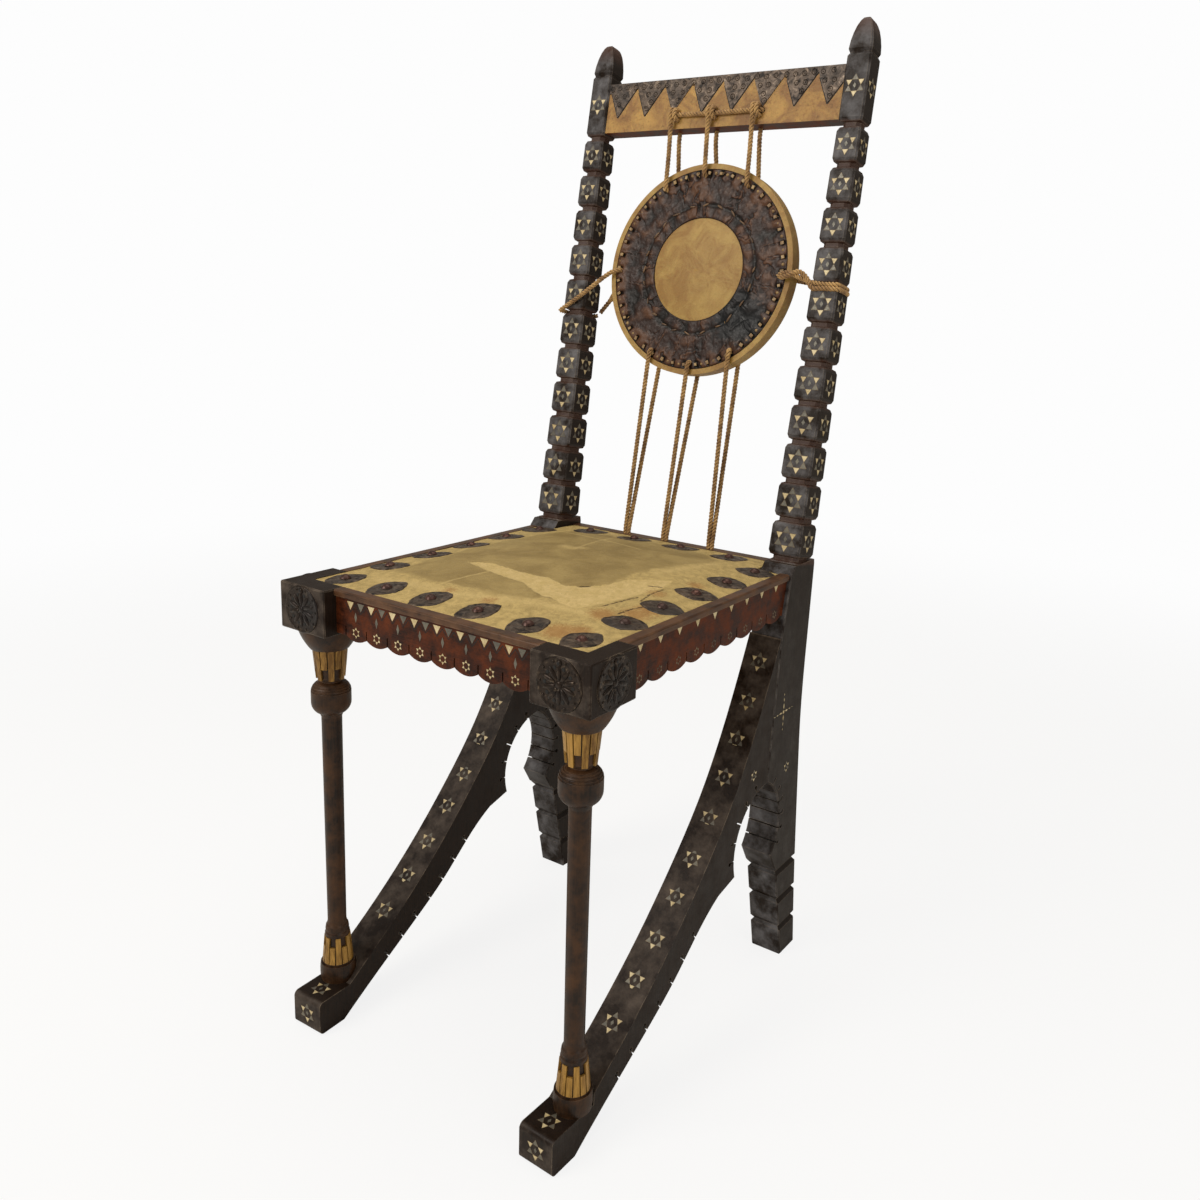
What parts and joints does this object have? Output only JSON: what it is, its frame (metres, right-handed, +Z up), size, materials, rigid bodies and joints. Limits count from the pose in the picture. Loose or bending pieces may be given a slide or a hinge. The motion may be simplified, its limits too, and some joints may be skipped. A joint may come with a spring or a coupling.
{
  "type": "side chair",
  "caption": "Side chair with leaning beaded posts, curved braces to the front feet, a padded vellum seat and a round shield slung on ropes between the posts",
  "frame": {"origin": "on the floor, under the middle of the chair's own box", "axes": "+X to the right seen from the front, which is the sitter's left, +Y to the back, +Z up along the posts' height"},
  "size_m": [0.3784, 0.5048, 1.0391],
  "materials": {
    "ebonised_wood": "ebonised and worn",
    "turned_wood": "turned, dark stained",
    "red_wood": "red-brown stained and waxed",
    "hidden_wood": "plain sawn",
    "vellum": "stretched, aged",
    "dark_leather": "crinkled and waxed",
    "dark_metal": "embossed, patinated",
    "brass": "aged",
    "rope": "twisted",
    "padding": "stuffed"
  },
  "bodies": {
    "root": {"block_roundels_left": "dark_metal", "block_roundels_right": "dark_metal", "brace_left": "ebonised_wood", "brace_right": "ebonised_wood", "corner_block_left": "ebonised_wood", "corner_block_right": "ebonised_wood", "crest_metal_teeth": "dark_metal", "crest_rail": "red_wood", "crest_stud": "dark_metal", "crest_vellum": "vellum", "disc_back": "vellum", "disc_centre": "vellum", "disc_core": "hidden_wood", "disc_hoop": "vellum", "disc_leather_ring": "dark_leather", "disc_pins": "dark_metal", "front_apron": "red_wood", "front_leg_left": "turned_wood", "front_leg_right": "turned_wood", "front_lip": "red_wood", "glue_blocks": "hidden_wood", "leaf_plates": "dark_metal", "left_apron": "red_wood", "left_lip": "red_wood", "left_tie_rope": "rope", "leg_base_strips_left": "brass", "leg_base_strips_right": "brass", "leg_top_strips_left": "brass", "leg_top_strips_right": "brass", "lower_rope_1": "rope", "lower_rope_2": "rope", "lower_rope_3": "rope", "rail_rope": "rope", "rear_lip": "red_wood", "rear_post_left": "ebonised_wood", "rear_post_right": "ebonised_wood", "rear_rail": "red_wood", "right_apron": "red_wood", "right_lip": "red_wood", "right_tie_rope": "rope", "rope_toggle": "rope", "seat_board": "hidden_wood", "seat_nails": "dark_metal", "seat_padding": "padding", "seat_vellum": "vellum", "tenon_pegs": "hidden_wood", "upper_rope_1": "rope", "upper_rope_2": "rope", "upper_rope_3": "rope"}
  },
  "joints": []
}
